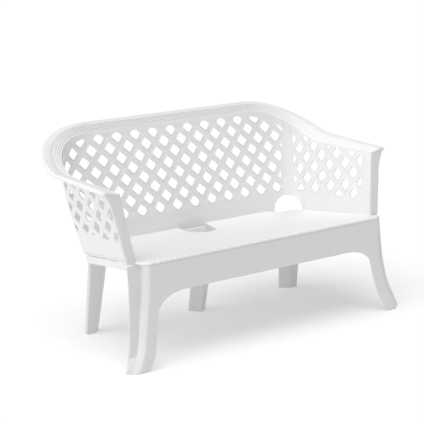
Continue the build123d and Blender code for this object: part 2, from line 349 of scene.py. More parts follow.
def smoothThrough(knots, values, at):
    # cubic curve through the knots, with slopes taken from their neighbours
    knots = np.asarray(knots, float)
    values = np.asarray(values, float)
    slopes = np.gradient(values, knots)
    index = int(np.clip(np.searchsorted(knots, at) - 1, 0, len(knots) - 2))
    span = knots[index + 1] - knots[index]
    t = (at - knots[index]) / span
    a = (2 * t ** 3 - 3 * t ** 2 + 1) * values[index]
    b = (t ** 3 - 2 * t ** 2 + t) * span * slopes[index]
    c = (-2 * t ** 3 + 3 * t ** 2) * values[index + 1]
    d = (t ** 3 - t ** 2) * span * slopes[index + 1]
    return a + b + c + d


def roundPath(points, radii, steps=5):
    # open path with its inner corners rounded
    path = [Vector(points[0])]
    for before, at, after, radius in zip(points, points[1:], points[2:], radii):
        path += cornerCurve(before, at, after, radius, steps)
    path.append(Vector(points[-1]))
    return path


def thicken(path, thickness):
    # closed outline of a sheet seen edge on, the second side offset to the left of the path
    inside = []
    for index, point in enumerate(path):
        before = path[max(index - 1, 0)]
        after = path[min(index + 1, len(path) - 1)]
        along = (after - before).normalized()
        inside.append(point + Vector((-along.y, along.x)) * thickness)
    return path + inside[::-1]


def loftLoops(name, loops):
    # closed skin through loops of equal length, with a cap on each end
    verts = [point for loop in loops for point in loop]
    count = len(loops[0])
    faces = []
    for row in range(len(loops) - 1):
        for column in range(count):
            nextColumn = (column + 1) % count
            a = row * count + column
            b = row * count + nextColumn
            faces.append((a, b, b + count, a + count))
    faces.append(tuple(range(count))[::-1])
    faces.append(tuple(range(len(verts) - count, len(verts))))
    return meshFrom(name, verts, faces)


def feed(tree, socket, value):
    # a socket takes a link or a fixed value
    if isinstance(value, bpy.types.NodeSocket):
        tree.links.new(value, socket)
    else:
        socket.default_value = value


def noiseNode(tree, coords, scale, detail):
    node = tree.nodes.new("ShaderNodeTexNoise")
    tree.links.new(coords.outputs["Object"], node.inputs["Vector"])
    feed(tree, node.inputs["Scale"], scale)
    node.inputs["Detail"].default_value = detail
    return node.outputs["Fac"]


def mathNode(tree, operation, *values):
    node = tree.nodes.new("ShaderNodeMath")
    node.operation = operation
    for socket, value in zip(node.inputs, values):
        feed(tree, socket, value)
    return node.outputs[0]


def rangeNode(tree, value, source, target):
    node = tree.nodes.new("ShaderNodeMapRange")
    tree.links.new(value, node.inputs["Value"])
    for label, limit in zip(("From Min", "From Max", "To Min", "To Max"), source + target):
        node.inputs[label].default_value = limit
    return node.outputs["Result"]


def bumpInto(tree, shader, height, strength, distance):
    node = tree.nodes.new("ShaderNodeBump")
    node.inputs["Strength"].default_value = strength
    node.inputs["Distance"].default_value = distance
    tree.links.new(height, node.inputs["Height"])
    tree.links.new(node.outputs["Normal"], shader.inputs["Normal"])


# white moulded resin: fine grain, a faint drift of tone, specks of grit in the surface
resin = {
    "inputs": {"Grain Scale": 900.0, "Tone Scale": 3.0, "Tone Depth": 0.03, "Wear": 0.3},
    "speckScale": 140,
    "speckShare": (0.62, 0.78),
    "speckDepth": 0.05,
    "glossScale": 11,
    "roughness": (0.36, 0.5),
    "waveScale": 26,
    "waveHeight": 2.5,
    "bumpDistance": 0.0006,
    "refraction": 1.49,
    "specular": 0.42,
}


def makeResinGroup():
    group = bpy.data.node_groups.new("mouldedResin", "ShaderNodeTree")
    face = group.interface
    for label, value in resin["inputs"].items():
        socket = face.new_socket(label, in_out="INPUT", socket_type="NodeSocketFloat")
        socket.default_value = value
    base = face.new_socket("Base", in_out="INPUT", socket_type="NodeSocketColor")
    base.default_value = (0.8, 0.8, 0.8, 1)
    face.new_socket("Color", in_out="OUTPUT", socket_type="NodeSocketColor")
    face.new_socket("Roughness", in_out="OUTPUT", socket_type="NodeSocketFloat")
    face.new_socket("Height", in_out="OUTPUT", socket_type="NodeSocketFloat")
    given = group.nodes.new("NodeGroupInput").outputs
    result = group.nodes.new("NodeGroupOutput")
    coords = group.nodes.new("ShaderNodeTexCoord")

    drift = mathNode(group, "SUBTRACT", noiseNode(group, coords, given["Tone Scale"], 4), 0.5)
    level = mathNode(group, "ADD", mathNode(group, "MULTIPLY", drift, given["Tone Depth"]), 1.0)
    specks = noiseNode(group, coords, resin["speckScale"], 6)
    specks = rangeNode(group, specks, resin["speckShare"], (0.0, resin["speckDepth"]))
    worn = mathNode(group, "MULTIPLY", specks, given["Wear"])
    tint = group.nodes.new("ShaderNodeVectorMath")
    tint.operation = "SCALE"
    group.links.new(given["Base"], tint.inputs[0])
    group.links.new(mathNode(group, "SUBTRACT", level, worn), tint.inputs["Scale"])
    group.links.new(tint.outputs[0], result.inputs["Color"])

    gloss = noiseNode(group, coords, resin["glossScale"], 5)
    gloss = rangeNode(group, gloss, (0.3, 0.7), resin["roughness"])
    group.links.new(gloss, result.inputs["Roughness"])

    grain = noiseNode(group, coords, given["Grain Scale"], 2)
    waves = noiseNode(group, coords, resin["waveScale"], 1)
    height = mathNode(group, "MULTIPLY_ADD", waves, resin["waveHeight"], grain)
    group.links.new(height, result.inputs["Height"])
    return group


resinGroup = makeResinGroup()


def makeResin(name, white, grainScale=900.0, toneDepth=0.03, bump=0.1):
    material = bpy.data.materials.new(name)
    material.use_nodes = True
    tree = material.node_tree
    shader = tree.nodes["Principled BSDF"]
    finish = tree.nodes.new("ShaderNodeGroup")
    finish.node_tree = resinGroup
    finish.inputs["Base"].default_value = (white, white, white, 1)
    finish.inputs["Grain Scale"].default_value = grainScale
    finish.inputs["Tone Depth"].default_value = toneDepth
    tree.links.new(finish.outputs["Color"], shader.inputs["Base Color"])
    tree.links.new(finish.outputs["Roughness"], shader.inputs["Roughness"])
    bumpInto(tree, shader, finish.outputs["Height"], bump, resin["bumpDistance"])
    shader.inputs["IOR"].default_value = resin["refraction"]
    shader.inputs["Specular IOR Level"].default_value = resin["specular"]
    return material


resinWhite = makeResin("resinWhite", 0.85)
resinSeat = makeResin("resinSeat", 0.85, grainScale=1400.0, bump=0.16)
# painted shade: a greyer copy of the white resin, darkening the apron, posts and legs where they sit in
# shade under the seat
resinPaintedShade = makeResin("resinPaintedShade", 0.75, toneDepth=0.04)
resinInner = makeResin("resinInner", 0.85, toneDepth=0.05, bump=0.14)
print("materials made")

# the fluted rail runs from one arm tip round the back to the other
rail = {
    "jointX": railBox[1][0],
    "innerY": railBox[0][1],
    "rearY": railBox[1][1],
    "halfLength": cadBox[1][0],
    "cornerRadius": 0.245,
    "innerRadius": 0.235,
    "tipY": armRailBox[0][1],
    "armInnerZ": 0.666,
    "armOuterZ": 0.693,
    "tipDrop": 0.012,
    "backInnerZ": 0.788,
    "topZ": cadBox[1][2],
    "swell": 0.75,
    "crown": 1.9,
    "lip": 0.016,
    "roll": 0.011,
    "wall": 0.0045,
    "flutes": 5,
    "fluteFrom": 0.02,
    "fluteTo": 0.50,
    "fluteDepth": 0.0026,
    "stepsPerFlute": 8,
    "seam": 0.00015,
    "endRoll": 0.0035,
    "endShrink": 0.10,
}
rail["jointY"] = rail["innerY"] - rail["innerRadius"]


def railEase(turn):
    # share of the climb from arm height to back height
    return math.sin(math.pi / 2 * max(turn, 0.0) ** rail["swell"]) ** 2


def innerPath(turn):
    # inner edge of the corner rail on the tub wall: distance from the corner line, and height
    z = rail["armInnerZ"] + (rail["backInnerZ"] - rail["armInnerZ"]) * railEase(1 - turn)
    first = rail["jointX"] - cornerX(rail["backInnerZ"])
    last = backY(rail["armInnerZ"]) - rail["jointY"]
    return first + (last - first) * turn, z


def cornerOuter(share):
    # outer edge round the corner: a straight lead, an arc, then straight on to the arm
    radius = rail["cornerRadius"]
    centreX = rail["halfLength"] - radius
    centreY = rail["rearY"] - radius
    lead = centreX - rail["jointX"]
    arc = radius * math.pi / 2
    distance = share * (lead + arc + centreY - rail["jointY"])
    z = rail["armOuterZ"] + (rail["topZ"] - rail["armOuterZ"]) * railEase(1 - share)
    if distance < lead:
        return rail["jointX"] + distance, rail["rearY"], z
    if distance > lead + arc:
        return rail["halfLength"], centreY - (distance - lead - arc), z
    swing = math.pi / 2 - (distance - lead) / radius
    return centreX + radius * math.cos(swing), centreY + radius * math.sin(swing), z


def railEdges(place):
    # place runs 0 to 1 along half the back, to 2 round the corner, to 3 along the arm; negative is left
    side = -1 if place < 0 else 1
    place = abs(place)
    if place <= 1:
        x = rail["jointX"] * place
        inner = (x, backY(rail["backInnerZ"]), rail["backInnerZ"])
        outer = (x, rail["rearY"], rail["topZ"])
    elif place <= 2:
        inner = shellSurface(*innerPath(place - 1))
        outer = cornerOuter(place - 1)
    else:
        part = place - 2
        y = rail["jointY"] + (rail["tipY"] - rail["jointY"]) * part
        inner = (armX(y, rail["armInnerZ"]), y, rail["armInnerZ"])
        outer = (rail["halfLength"], y, rail["armOuterZ"] - rail["tipDrop"] * part)
    return Vector((inner[0] * side, *inner[1:])), Vector((outer[0] * side, *outer[1:]))


def crown(share):
    return 1 - (1 - share) ** rail["crown"]


def railProfile(width, rise):
    # across the rail: fluted slope, crest, roll, lip, then back along the underside
    top = []
    radius, wall, lipZ = rail["roll"], rail["wall"], rise - rail["lip"]
    rollStart = 1 - radius / width
    fluteSteps = rail["flutes"] * rail["stepsPerFlute"]
    for step in range(fluteSteps + 1):
        share = rail["fluteFrom"] + (rail["fluteTo"] - rail["fluteFrom"]) * step / fluteSteps
        phase = (step / rail["stepsPerFlute"]) % 1
        sink = rail["fluteDepth"] * math.sin(math.pi * phase)
        slope = rise * rail["crown"] * (1 - share) ** (rail["crown"] - 1) / width
        tilt = math.hypot(1, slope)
        top.append((share * width + sink * slope / tilt, rise * crown(share) - sink / tilt))
    for step in range(1, 7):
        share = rail["fluteTo"] + (rollStart - rail["fluteTo"]) * step / 6
        top.append((share * width, rise * crown(share)))
    for step in range(1, 9):
        angle = math.radians(90 - 90 * step / 8)
        top.append((width - radius + radius * math.cos(angle), rise - radius + radius * math.sin(angle)))
    lip = [(width, lipZ + 0.002), (width - 0.0015, lipZ), (width - 0.003, lipZ)]
    lip.append((width - wall, lipZ + 0.002))
    under = [(width - wall, rise - radius)]
    for step in range(1, 12):
        share = rollStart * (1 - step / 11)
        under.append((max(share * width, 0.002), rise * crown(share) - wall))
    nose = [(-0.0006, -0.003), (0.0, -0.0008)]
    return top, lip + under + nose


def railSection(place):
    inner, outer = railEdges(place)
    across = Vector((outer.x - inner.x, outer.y - inner.y, 0))
    width = across.length
    across.normalize()
    top, rest = railProfile(width, outer.z - inner.z)
    return [inner + across * reach + Vector((0, 0, height)) for reach, height in top + rest]


def makeRail(name, start, end, count, node):
    places = np.linspace(start + rail["seam"], end - rail["seam"], count)
    mesh = loftLoops(name, [railSection(place) for place in places])
    finishPiece(makeObject(name, mesh), [node], resinWhite, 50)


makeRail("backTopRail", -1, 1, 41, "back_top_rail")
makeRail("cornerRailRight", 1, 2, 73, "corner_rail_right")
makeRail("cornerRailLeft", -2, -1, 73, "corner_rail_left")
makeRail("armRailRight", 2, 3, 25, "arm_rail_right")
makeRail("armRailLeft", -3, -2, 25, "arm_rail_left")


def makeRailEnd(side):
    # the rail rolls forward and down over the top of the arm post
    label = "Right" if side > 0 else "Left"
    roll = rail["endRoll"]
    section = railSection(3 * side)
    low = min(point.z for point in section)
    loops = []
    for step in range(9):
        angle = math.radians(90 * step / 8)
        drop = 1 - math.cos(angle)
        shift = Vector((0, -roll * math.sin(angle), -roll * drop))
        shrink = 1 - rail["endShrink"] * drop
        loops.append([Vector((at.x, at.y, low + (at.z - low) * shrink)) + shift for at in section])
    mesh = loftLoops("armRailEnd" + label, loops)
    finishPiece(makeObject("armRailEnd" + label, mesh), ["arm_rail_end_" + label.lower()], resinWhite, 50)


makeRailEnd(1)
makeRailEnd(-1)
print("rail made")

# back and arm panels of diamond lattice
lattice = {
    "pitch": 0.0922,
    "hole": 0.0385,
    "holeCorner": 0.0045,
    "clippedCorner": 0.009,
    "rim": 0.0045,
    "rimHeight": 0.0014,
    "thickness": 0.0045,
    "bevel": 0.0006,
    "rimBevel": 0.0007,
    "armRise": 13.6,
    "smallestHole": 0.00013,
}


def diamondHole(u, v, border):
    half = lattice["hole"] / math.sqrt(2)
    whole = [(u + half, v), (u, v + half), (u - half, v), (u, v - half)]
    cut = clipConvex(whole, border)
    cut = tidyLoop(cut, 0.002) if len(cut) > 2 else []
    if len(cut) < 3 or abs(area(cut)) < lattice["smallestHole"]:
        return None
    clipped = abs(area(cut)) < abs(area(whole)) * 0.98
    return roundLoop(cut, lattice["clippedCorner"] if clipped else lattice["holeCorner"])


def latticeMesh(name, outline, holes, place, bendNormal, bends):
    # panel, with a raised rim round every hole on the sitting side
    body = sheetMesh(name + "_body", outline, holes, lattice["thickness"], lattice["bevel"])
    sliceMesh(body, bendNormal, bends)
    mapMesh(body, lambda u, v, n: place(u, v, lattice["thickness"] / 2 - n))
    parts = [body]
    height, rimBevel = lattice["rimHeight"] * 2, lattice["rimBevel"]
    for index, hole in enumerate(holes):
        wide, narrow = grown(hole, lattice["rim"]), grown(hole, 0.0003)
        rim = sheetMesh(f"{name}_rim{index}", wide, [narrow], height, rimBevel, 1)
        mapMesh(rim, lambda u, v, n: place(u, v, 0.0002 - n))
        parts.append(rim)
    return joinMeshes(name, parts)


def placeOnBack(u, v, n):
    # u along the back, v up the slope from the top row of holes, n outwards through the wall
    z = tub["backZ"] + backUp.z * v
    s = abs(u) - cornerX(z)
    if s <= -cornerReach(z) - cornerTuck(z):
        return Vector((u, tub["backY"], tub["backZ"])) + backUp * v + backOut * n
    point = placeOnShell(s, z, n)
    return Vector((math.copysign(point.x, u), point.y, point.z))


def backV(z):
    return (z - tub["backZ"]) / backUp.z


# the upright band in each rear corner, with an arched opening at its foot
stile = {
    "footZ": 0.429,
    "archReach": 0.125,
    "sideReach": 0.062,
    "sideZ": 0.430,
    "backLow": -0.056,
    "backHigh": -0.018,
    "armLow": 0.006,
    "armHigh": 0.028,
    "highZ": 0.70,
    "border": 0.006,
    "seam": 0.0002,
    "tuckUnder": 0.002,
    "topGap": 0.003,
    "arch": {"middle": -0.034, "half": 0.080, "height": 0.066, "square": 0.8},
}


def stileEdge(z, low, high):
    share = (z - corner["bandZ"]) / (stile["highZ"] - corner["bandZ"])
    return low + (high - low) * min(max(share, 0.0), 1.15)


def stileBack(z):
    return stileEdge(z, stile["backLow"], stile["backHigh"])


def stileArm(z):
    return stileEdge(z, stile["armLow"], stile["armHigh"])


innerSteps = [innerPath(step / 48) for step in range(49)]


def stileHeights(edge):
    # heights up one edge of the stile, ending just under the rail
    top = [z for s, z in innerSteps if s > edge(z)][0] - stile["topGap"]
    return [corner["bandZ"] + (top - corner["bandZ"]) * step / 8 for step in range(9)]


def latticeHoles(rows, columns, borderAt):
    # every second crossing of the grid is a hole, the rest are where the bars cross
    step = lattice["pitch"] / 2
    holes = []
    for row in rows:
        for column in columns:
            if (column + row) % 2 == 0:
                u, v = column * step, -row * step
                border = borderAt(u, v)
                hole = diamondHole(u, v, border if area(border) > 0 else border[::-1])
                if hole:
                    holes.append(hole)
    return holes


# where the back's holes stop: heights on the two sides, then points under the rail, then the crest
backBorder = {
    "sides": (0.438, 0.705),
    "top": ((0.575, 0.728), (0.512, 0.750), (0.445, 0.767)),
    "crest": (0.380, 0.0155),
}


def makeBackLattice():
    seam, footZ, low = stile["seam"], stile["footZ"], seatRearZ + 0.001
    half = [(cornerX(z) - stile["archReach"] - seam, backV(z)) for z in (low, footZ)]
    for z in stileHeights(stileBack):
        half.append((cornerX(z) + stileBack(z) - seam, backV(z)))
    top = [(s, z) for s, z in innerSteps if s < stileBack(z) - 0.004]
    half += [(cornerX(z) + s, backV(z - stile["tuckUnder"])) for s, z in reversed(top)]
    outline = half + [(-u, v) for u, v in reversed(half)]
    border = [(cornerX(z) + stileBack(z) - stile["border"], backV(z)) for z in backBorder["sides"]]
    border += [(u, backV(z)) for u, z in backBorder["top"]] + [backBorder["crest"]]
    border += [(-u, v) for u, v in reversed(border)]
    holes = latticeHoles(range(9), range(-13, 14), lambda u, v: border)
    bends = [side * (0.40 + 0.012 * k) for side in (-1, 1) for k in range(19)]
    mesh = latticeMesh("backrestLattice", outline, holes, placeOnBack, (1, 0, 0), bends)
    finishPiece(makeObject("backrestLattice", mesh), ["backrest_lattice"], resinInner, 40)
    return len(holes)


print("back lattice holes:", makeBackLattice())

# the arm's grid is turned a little; its holes stop at one border in front and another near the corner
armBorder = {
    "low": ((-0.166, 0.459), (-0.199, 0.507)),
    "farTop": ((-0.182, 0.655), (0.30, 0.6565)),
    "nearTop": ((-0.182, 0.580), (0.060, 0.647)),
    "rear": (0.70, 0.441),
    "split": 0.13,
}
armTurn = math.radians(lattice["armRise"])
armAlong = armForward * math.cos(armTurn) + armUp * math.sin(armTurn)
armAcross = armUp * math.cos(armTurn) - armForward * math.sin(armTurn)
armOrigin = Vector((armX(0.095, 0.557), 0.095, 0.557))


def placeOnArm(u, v, n):
    point = armOrigin + armAlong * u + armAcross * v
    s = backY(point.z) - point.y
    if s >= cornerReach(point.z) * corner["armShare"]:
        return point + armOut * n
    return placeOnShell(s, point.z, n)


def armLocal(y, z):
    offset = Vector((armX(y, z), y, z)) - armOrigin
    return (offset.dot(armAlong), offset.dot(armAcross))


def makeArmLattice():
    low = seatRearY - stile["sideReach"]
    tuckUnder, seam = stile["tuckUnder"], stile["seam"]
    outline = [
        armLocal(low, seatZ(low) + 0.0005),
        armLocal(-0.264, seatZ(-0.264) + 0.0005),
        armLocal(-0.2255, rail["armInnerZ"] - tuckUnder),
    ]
    top = [(backY(z) - s, z) for s, z in innerSteps if s > stileArm(z) + 0.004]
    outline += [armLocal(y, z - tuckUnder) for y, z in reversed(top)]
    for z in reversed(stileHeights(stileArm)):
        outline.append(armLocal(backY(z) - stileArm(z) - seam, z))
    outline.append(armLocal(backY(stile["sideZ"]) - stile["sideReach"] - seam, stile["sideZ"]))
    rear = tuple((backY(z) - stileArm(z) - stile["border"], z) for z in armBorder["rear"])
    far = [armLocal(y, z) for y, z in armBorder["low"] + armBorder["farTop"] + rear[1:]]
    near = [armLocal(y, z) for y, z in armBorder["low"] + armBorder["nearTop"] + rear]

    def borderAt(u, v):
        return near if (armOrigin + armAlong * u + armAcross * v).y > armBorder["split"] else far

    holes = latticeHoles(range(-5, 6), range(-7, 10), borderAt)
    bends = [0.34 - 0.012 * k - armOrigin.y for k in range(30)]
    bendNormal = (armAlong.y, armAcross.y, 0)
    mesh = latticeMesh("armLatticeRight", outline, holes, placeOnArm, bendNormal, bends)
    finishPair(mesh, "armLattice", "arm_lattice", resinInner)
    return len(holes)


print("arm lattice holes:", makeArmLattice())


def makeCornerStile():
    arch, side = stile["arch"], stile["sideReach"]
    outline = [(-stile["archReach"], seatRearZ), (-stile["archReach"], stile["footZ"])]
    outline += [(stileBack(z), z) for z in stileHeights(stileBack)]
    outline += [(s, z - stile["tuckUnder"]) for s, z in innerSteps if stileBack(z) < s < stileArm(z)]
    outline += [(stileArm(z), z) for z in reversed(stileHeights(stileArm))]
    outline += [(side, stile["sideZ"]), (side, seatRearZ + 0.006)]
    for step in range(33):
        angle = math.pi * step / 32
        along = arch["middle"] + arch["half"] * math.cos(angle)
        outline.append((along, seatRearZ + 0.002 + arch["height"] * math.sin(angle) ** arch["square"]))
    thickness = lattice["thickness"]
    mesh = sheetMesh("cornerStileRight", outline, [], thickness, lattice["bevel"])
    sliceMesh(mesh, (1, 0, 0), [-0.12 + 0.006 * k for k in range(31)])
    mapMesh(mesh, lambda s, z, n: placeOnShell(s, z, thickness / 2 - n))
    finishPair(mesh, "cornerStile", "corner_stile", resinInner)


makeCornerStile()
print("corner stiles made")

# seat deck with a lobed front edge and a notch at the rear
seat = {
    "halfWidth": 0.594,
    "chamfer": 0.020,
    "thickness": 0.011,
    "bevel": 0.0046,
    "lobes": 43,
    "lobeDepth": 0.0042,
    "overhang": 0.0026,
    "postY": -0.270,
    "rearLine": 0.352,
    "notchRear": 0.074,
    "notchSide": 0.056,
    "underLegs": 0.0108,
    "sweepFrom": 0.110,
    "sweepTo": 0.182,
    "sweepRise": 0.015,
    "sweepEnds": (0.40, 0.50),
}

# the leg under the notch: an open V, blunt at its front edge
middleLeg = {
    "halfFoot": 0.046,
    "halfTop": 0.056,
    "frontFoot": 0.106,
    "frontTop": 0.042,
    "apex": 0.008,
    "flank": 0.042,
    "wall": 0.004,
    "topZ": 0.380,
    "collarZ": 0.300,
}


def deckZ(x, y):
    # the deck sweeps up to meet the back, except at the corner arches
    near, far = seat["sweepEnds"]
    middle = clamp((far - abs(x)) / (far - near))
    share = clamp((y - seat["sweepFrom"]) / (seat["sweepTo"] - seat["sweepFrom"]))
    return seatZ(y) + seat["sweepRise"] * share ** 2 * middle * middle * (3 - 2 * middle)


def seatFront():
    # row of shallow lobes along the front edge, left to right
    front = []
    pitch = 2 * seat["halfWidth"] / seat["lobes"]
    for lobe in range(seat["lobes"]):
        for step in range(8):
            t = step / 8
            sink = seat["lobeDepth"] * (1 - math.sin(math.pi * t))
            x = -seat["halfWidth"] + pitch * (lobe + t)
            front.append((x, tub["seatFrontY"] - seat["overhang"] + sink))
    return front


def makeSeat():
    frontY, postY = tub["seatFrontY"], seat["postY"]
    half, chamfer = seat["halfWidth"], seat["chamfer"]
    edge = lattice["thickness"]
    right = [
        (half + 0.004, frontY + 0.003),
        (half + chamfer, frontY + chamfer),
        (half + chamfer - 0.002, frontY + chamfer + 0.010),
        (armX(postY, seatZ(postY)) + edge, postY),
        (armX(0.05, seatZ(0.05)) + edge, 0.05),
    ]
    for step in range(17):
        point = placeOnShell(0.085 - 0.165 * step / 16, seat["rearLine"], edge)
        right.append((point.x, point.y))
    right += [
        (seat["notchRear"], right[-1][1]),
        (seat["notchSide"], middleLeg["frontTop"] + middleLeg["flank"]),
        (middleLeg["apex"] + 0.004, middleLeg["frontTop"] + 0.0035),
    ]
    outline = seatFront() + right + [(-x, y) for x, y in reversed(right)]
    mesh = sheetMesh("seatDeck", outline, [], seat["thickness"], seat["bevel"], 3)
    sliceMesh(mesh, (0, 1, 0), [seat["sweepFrom"] + 0.009 * k for k in range(8)])
    sliceMesh(mesh, (1, 0, 0), [side * (0.39 + 0.015 * k) for side in (-1, 1) for k in range(9)])
    mapMesh(mesh, lambda x, y, n: Vector((x, y, deckZ(x, y) - seat["thickness"] / 2 + n)))
    finishPiece(makeObject("seatDeck", mesh), ["seat_deck"], resinSeat, 45)


makeSeat()

# the front leg, given at heights from the toe up: an open channel that curves outwards
frontLeg = {
    "z": (0.0, 0.020, 0.052, 0.086, 0.200, 0.320, 0.420),
    "inner": (0.627, 0.615, 0.598, 0.586, 0.560, 0.544, 0.544),
    "outer": (0.680, 0.668, 0.651, 0.637, 0.610, 0.594, 0.594),
    "front": (-0.377, -0.377, -0.372, -0.362, -0.343, -0.336, -0.336),
    "flangeX": (0.717, 0.712, 0.698, 0.685, 0.665, 0.658, 0.657),
    "flangeY": (-0.349, -0.346, -0.337, -0.327, -0.302, -0.288, -0.276),
    "corner": 0.020,
    "wall": 0.004,
    "return": 0.009,
    "joinZ": 0.30,
    "toeZ": (0.0, 0.0015, 0.004, 0.010, 0.018, 0.028, 0.040, 0.050, 0.056),
    "toeInset": (0.0035, 0.0015, 0.0004, 0.0002, 0.0002, 0.0002, 0.0002, 0.0002, 0.0002),
}


def legAt(z):
    keys = ("inner", "outer", "front", "flangeX", "flangeY")
    return {key: smoothThrough(frontLeg["z"], frontLeg[key], z) for key in keys}


# the apron's sides follow the legs, and an arch joins it to each
apron = {
    "halfSpan": apronBox[1][0],
    "top": tub["seatFrontZ"] - 0.0112,
    "low": 0.282,
    "archWidth": 0.125,
    "archHeight": 0.078,
    "thickness": 0.005,
    "bevel": 0.00015,
}


def makeApron():
    foot = apron["low"] - apron["archHeight"]
    right = [(legAt(z)["inner"] - 0.00005, z) for z in np.linspace(apron["top"], foot, 12)]
    footX = right[-1][0]
    reach = footX - (apron["halfSpan"] - apron["archWidth"])
    for step in range(1, 21):
        angle = math.pi / 2 * step / 20
        x = footX - reach * (1 - math.cos(angle))
        right.append((x, foot + apron["archHeight"] * math.sin(angle)))
    outline = tidyLoop([(-x, z) for x, z in reversed(right)] + right, 0.0005)
    mesh = sheetMesh("frontApron", outline, [], apron["thickness"], apron["bevel"])
    middle = apron["thickness"] / 2
    mapMesh(mesh, lambda x, z, n: Vector((x, legAt(max(z, foot))["front"] + middle - n, z)))
    finishPiece(makeObject("frontApron", mesh), ["front_apron"], resinPaintedShade, 40)


makeApron()

# flat strips that hang under the arms and under the back
sideSkirt = {
    "frontY": -0.266,
    "rearY": 0.100,
    "top": 0.0112,
    "bottom": 0.042,
    "proud": 0.0085,
    "thickness": 0.004,
}


def makeSideSkirt():
    rearY, frontY, top, bottom = (sideSkirt[key] for key in ("rearY", "frontY", "top", "bottom"))
    places = ((rearY, top), (rearY, bottom), (frontY, bottom), (frontY, top))
    outline = [(y, seatZ(y) - below) for y, below in places]
    mesh = sheetMesh("sideSkirtRight", outline, [], sideSkirt["thickness"], 0.001)
    mapMesh(mesh, lambda y, z, n: Vector((armX(y, z) + sideSkirt["proud"] - n, y, z)))
    finishPair(mesh, "sideSkirt", "side_skirt", resinWhite)


makeSideSkirt()

rearSkirt = {"half": 0.490, "drop": 0.046, "archHalf": 0.030, "archHeight": 0.012, "thickness": 0.004}


def makeRearSkirt():
    half, thickness = rearSkirt["half"], rearSkirt["thickness"]
    topZ = seatRearZ - 0.002
    lowZ = topZ - rearSkirt["drop"]
    outline = [(-half, topZ), (-half, lowZ + 0.010), (-half + 0.010, lowZ)]
    for step in range(17):
        angle = math.pi * (1 - step / 16)
        x = rearSkirt["archHalf"] * math.cos(angle)
        outline.append((x, lowZ + rearSkirt["archHeight"] * math.sin(angle)))
    outline += [(half - 0.010, lowZ), (half, lowZ + 0.010), (half, topZ)]
    mesh = sheetMesh("rearSkirt", outline, [], thickness, 0.0008)
    mapMesh(mesh, lambda x, z, n: Vector((x, backY(z) + thickness / 2 + 0.0005 - n, z)))
    finishPiece(makeObject("rearSkirt", mesh), ["rear_skirt"], resinInner, 40)


makeRearSkirt()
print("seat and skirts made")


def makeSweep(name, zs, sectionAt, thickness):
    # posts and legs are open channels, swept upwards from flat sections
    loops = []
    for z in zs:
        points, radii = sectionAt(z)
        path = roundPath([Vector(p) for p in points], radii)
        loops.append([Vector((p.x, p.y, z)) for p in thicken(path, thickness)])
    return loftLoops(name, loops)


def underSeat(mesh, fromZ, topZ):
    # the level top of a leg is tilted to lie against the sloping seat
    for vert in mesh.vertices:
        share = max(0.0, (vert.co.z - fromZ) / (topZ - fromZ))
        vert.co.z += (seatZ(vert.co.y) - tub["seatFrontZ"]) * share
    return mesh


post = {
    "foldY": (-0.2735, -0.2275),
    "z": (0.399, 0.664),
    "width": 0.050,
    "widthSpan": 0.006,
    "back": 0.012,
    "wall": 0.004,
    "flareFrom": 0.585,
    "flareReach": 0.0252,
    "climbFrom": 0.60,
    "climb": 0.0150,
}


def postSection(z):
    lowZ, highZ = post["z"]
    lowY, highY = post["foldY"]
    share = (z - lowZ) / (highZ - lowZ)
    y = lowY + (highY - lowY) * share
    inner = armX(y, z)
    flare = max(0, (z - post["flareFrom"]) / (highZ - post["flareFrom"])) ** 2.2
    outer = inner + post["width"] - post["widthSpan"] * (1 - share) + post["flareReach"] * flare
    points = [(inner, y + post["back"]), (inner, y), (outer, y), (outer, y + 0.010)]
    return points, (0.004, 0.004)


def makePost():
    zs = np.linspace(*post["z"], 26)
    mesh = makeSweep("armPostRight", zs, postSection, post["wall"])
    for vert in mesh.vertices:
        # the top edge climbs outwards under the rail
        share = max(0.0, (vert.co.z - post["climbFrom"]) / (post["z"][1] - post["climbFrom"]))
        reach = clamp((vert.co.x - armX(vert.co.y, vert.co.z)) / 0.080)
        vert.co.z += post["climb"] * share * reach
    finishPair(mesh, "armPost", "arm_post", resinPaintedShade)


makePost()


def legSection(z):
    at = legAt(z)
    fold = frontLeg["corner"]
    hollowX = at["outer"] + fold - 0.012
    points = [
        (at["inner"], at["front"] + frontLeg["return"]),
        (at["inner"], at["front"]),
        (at["outer"], at["front"]),
        (at["outer"] + fold, at["front"] + fold),
        (hollowX, at["front"] + fold + 0.009),
        (hollowX, at["flangeY"]),
        (at["flangeX"], at["flangeY"]),
    ]
    return points, (0.00015, 0.005, 0.004, 0.004, 0.005)


def toeLoop(z, inset):
    at = legAt(z)
    fold = frontLeg["corner"]
    points = [
        (at["inner"] + inset, at["front"] + frontLeg["return"] + 0.004),
        (at["inner"] + inset, at["front"] + inset),
        (at["outer"], at["front"] + inset),
        (at["outer"] + fold - inset, at["front"] + fold),
        (at["flangeX"] - inset, at["flangeY"] + 0.001),
        (at["flangeX"] - inset - 0.004, at["flangeY"] + 0.012),
        (at["outer"], at["flangeY"] + 0.014),
    ]
    return [Vector((x, y, z)) for x, y in roundLoop(points, 0.006, 4)]


def makeFrontLeg():
    topZ = tub["seatFrontZ"] - seat["underLegs"]
    zs = np.concatenate([np.linspace(0.045, 0.2, 22), np.linspace(0.21, topZ, 16)])
    shell = underSeat(makeSweep("legShell", zs, legSection, frontLeg["wall"]), frontLeg["joinZ"], topZ)
    toe = loftLoops("legToe", [toeLoop(*level) for level in zip(frontLeg["toeZ"], frontLeg["toeInset"])])
    mesh = joinMeshes("frontLegRight", [shell, toe])
    finishPair(mesh, "frontLeg", "front_leg", resinPaintedShade)


makeFrontLeg()

rearLeg = {
    "z": (0.0, 0.105, 0.380),
    "inner": (0.524, 0.513, 0.487),
    "outer": (0.567, 0.565, 0.563),
    "front": (0.143, 0.132, 0.103),
    "flank": 0.035,
    "wall": 0.0045,
    "top": 0.3455,
}


